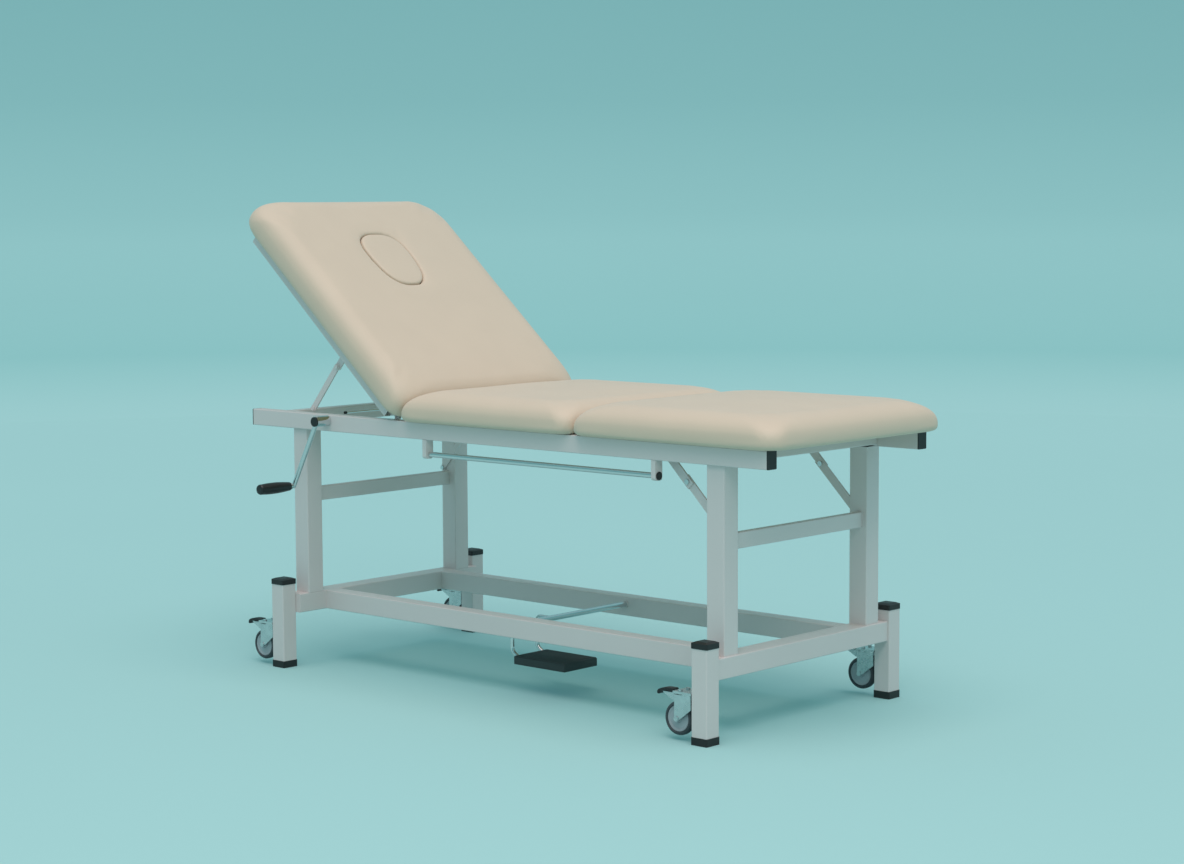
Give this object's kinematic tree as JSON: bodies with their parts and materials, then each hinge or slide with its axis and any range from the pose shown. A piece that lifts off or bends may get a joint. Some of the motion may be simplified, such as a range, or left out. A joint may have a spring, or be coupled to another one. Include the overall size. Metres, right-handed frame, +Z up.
{
  "type": "examination table",
  "caption": "Three-section padded examination table on a welded square-tube frame, with a crank-raised back, face opening with plug, pedal and castors that lower.",
  "frame": {"origin": "middle of the bounding box in plan, at the floor under the foot pads", "axes": "+X from the head end to the foot end, +Y from the crank side to the far side, +Z up"},
  "size_m": [1.996, 0.9318, 1.3591],
  "materials": {
    "painted_steel": "satin",
    "black_plastic": "matte",
    "tread_rubber": "matte",
    "chrome_rod": "polished",
    "zinc_steel": "satin",
    "plywood": "matte",
    "upholstery": "satin",
    "castor_tyre": "matte"
  },
  "bodies": {
    "frame": {"near_rail": "painted_steel", "far_rail": "painted_steel", "rail_end_caps": "black_plastic", "head_cross_tube": "painted_steel", "foot_cross_tube": "painted_steel", "head_uprights": "painted_steel", "foot_uprights": "painted_steel", "stretchers": "painted_steel", "end_beams": "painted_steel", "long_beams": "painted_steel", "head_posts": "painted_steel", "foot_posts": "painted_steel", "foot_pads": "black_plastic", "post_top_caps": "black_plastic", "brace_upper": "painted_steel", "brace_lower": "painted_steel", "brace_bolts": "zinc_steel", "accessory_brackets": "painted_steel", "accessory_rod": "chrome_rod", "accessory_plug": "black_plastic", "cross_rod": "chrome_rod", "cross_rod_tip": "black_plastic", "hinge_ears": "painted_steel", "crank_bush": "zinc_steel", "rack_guides": "zinc_steel", "pedal_bearings": "painted_steel", "seat_board": "plywood", "leg_board": "plywood", "seat_cushion": "upholstery", "leg_cushion": "upholstery"},
    "back": {"back_side_tubes": "painted_steel", "back_cross_tubes": "painted_steel", "back_ears": "painted_steel", "prop_studs": "zinc_steel", "back_board": "plywood", "back_cushion": "upholstery"},
    "plug": {"face_plug": "upholstery"},
    "near_prop": {"near_prop": "painted_steel"},
    "far_prop": {"far_prop": "painted_steel"},
    "rack": {"lift_rack": "zinc_steel"},
    "crank": {"crank_spindle": "chrome_rod", "crank_cap": "black_plastic", "crank_arm": "chrome_rod", "crank_pinion": "zinc_steel"},
    "grip": {"crank_grip": "black_plastic"},
    "pedal": {"pedal_lever": "chrome_rod", "pedal_tread": "tread_rubber"},
    "castor_lift": {"castor_carriers": "zinc_steel"},
    "near_foot_fork": {"near_foot_fork": "zinc_steel"},
    "near_foot_wheel": {"near_foot_wheel": "castor_tyre"},
    "near_foot_brake": {"near_foot_brake": "black_plastic"},
    "far_foot_fork": {"far_foot_fork": "zinc_steel"},
    "far_foot_wheel": {"far_foot_wheel": "castor_tyre"},
    "far_foot_brake": {"far_foot_brake": "black_plastic"},
    "near_head_fork": {"near_head_fork": "zinc_steel"},
    "near_head_wheel": {"near_head_wheel": "castor_tyre"},
    "near_head_brake": {"near_head_brake": "black_plastic"},
    "far_head_fork": {"far_head_fork": "zinc_steel"},
    "far_head_wheel": {"far_head_wheel": "castor_tyre"},
    "far_head_brake": {"far_head_brake": "black_plastic"}
  },
  "joints": [
    {"name": "back_tilt", "type": "hinge", "parent": "frame", "child": "back", "pos_m": [-0.40459, 0.0491, 0.7585], "axis": [0, 1, 0], "range_deg": [-41.1, 0]},
    {"name": "near_prop_fold", "type": "hinge", "parent": "back", "child": "near_prop", "pos_m": [-0.60391, 0.0491, 0.93238], "axis": [0, 1, 0], "range_deg": [0, 92]},
    {"name": "far_prop_fold", "type": "hinge", "parent": "back", "child": "far_prop", "pos_m": [-0.60391, 0.0491, 0.93238], "axis": [0, 1, 0], "range_deg": [0, 92]},
    {"name": "rack_slide", "type": "slide", "parent": "frame", "child": "rack", "axis": [1, 0, 0], "range_m": [0, 0.0309]},
    {"name": "crank_turn", "type": "hinge", "parent": "frame", "child": "crank", "pos_m": [-0.65499, 0.0491, 0.729], "axis": [0, 1, 0], "range_deg": [-147.6, 0]},
    {"name": "grip_spin", "type": "hinge", "parent": "crank", "child": "grip", "pos_m": [-0.75899, -0.4099, 0.536], "axis": [0, 1, 0], "continuous": true},
    {"name": "plug_lift", "type": "slide", "parent": "back", "child": "plug", "axis": [0.6574, 0, 0.7536], "range_m": [0, 0.14]},
    {"name": "castor_drop", "type": "slide", "parent": "frame", "child": "castor_lift", "axis": [0, 0, -1], "range_m": [0, 0.02]},
    {"name": "pedal_press", "type": "hinge", "parent": "frame", "child": "pedal", "pos_m": [-0.00099, 0.0491, 0.194], "axis": [0, 1, 0], "range_deg": [0, 20]},
    {"name": "near_foot_swivel", "type": "hinge", "parent": "castor_lift", "child": "near_foot_fork", "pos_m": [0.74401, -0.3414, 0.115], "axis": [0, 0, 1], "range_deg": [-95, 95]},
    {"name": "near_foot_roll", "type": "hinge", "parent": "near_foot_fork", "child": "near_foot_wheel", "pos_m": [0.71401, -0.3414, 0.057], "axis": [0, 1, 0], "continuous": true},
    {"name": "near_foot_brake_press", "type": "hinge", "parent": "near_foot_fork", "child": "near_foot_brake", "pos_m": [0.70901, -0.3414, 0.1065], "axis": [0, 1, 0], "range_deg": [-11, 0]},
    {"name": "far_foot_swivel", "type": "hinge", "parent": "castor_lift", "child": "far_foot_fork", "pos_m": [0.74401, 0.4396, 0.115], "axis": [0, 0, 1], "range_deg": [-95, 95]},
    {"name": "far_foot_roll", "type": "hinge", "parent": "far_foot_fork", "child": "far_foot_wheel", "pos_m": [0.71401, 0.4396, 0.057], "axis": [0, 1, 0], "continuous": true},
    {"name": "far_foot_brake_press", "type": "hinge", "parent": "far_foot_fork", "child": "far_foot_brake", "pos_m": [0.70901, 0.4396, 0.1065], "axis": [0, 1, 0], "range_deg": [-11, 0]},
    {"name": "near_head_swivel", "type": "hinge", "parent": "castor_lift", "child": "near_head_fork", "pos_m": [-0.85399, -0.3414, 0.115], "axis": [0, 0, 1], "range_deg": [-95, 95]},
    {"name": "near_head_roll", "type": "hinge", "parent": "near_head_fork", "child": "near_head_wheel", "pos_m": [-0.88399, -0.3414, 0.057], "axis": [0, 1, 0], "continuous": true},
    {"name": "near_head_brake_press", "type": "hinge", "parent": "near_head_fork", "child": "near_head_brake", "pos_m": [-0.88899, -0.3414, 0.1065], "axis": [0, 1, 0], "range_deg": [-11, 0]},
    {"name": "far_head_swivel", "type": "hinge", "parent": "castor_lift", "child": "far_head_fork", "pos_m": [-0.85399, 0.4396, 0.115], "axis": [0, 0, 1], "range_deg": [-95, 95]},
    {"name": "far_head_roll", "type": "hinge", "parent": "far_head_fork", "child": "far_head_wheel", "pos_m": [-0.88399, 0.4396, 0.057], "axis": [0, 1, 0], "continuous": true},
    {"name": "far_head_brake_press", "type": "hinge", "parent": "far_head_fork", "child": "far_head_brake", "pos_m": [-0.88899, 0.4396, 0.1065], "axis": [0, 1, 0], "range_deg": [-11, 0]}
  ],
  "couplings": [
    {"joint": "near_prop_fold", "follows": "back_tilt", "ratio": -2.23},
    {"joint": "far_prop_fold", "follows": "back_tilt", "ratio": -2.23},
    {"joint": "rack_slide", "follows": "back_tilt", "m_per_rad": -0.043072},
    {"joint": "crank_turn", "follows": "back_tilt", "ratio": 3.5893},
    {"joint": "pedal_press", "follows": "castor_drop", "rad_per_m": 17.436}
  ]
}
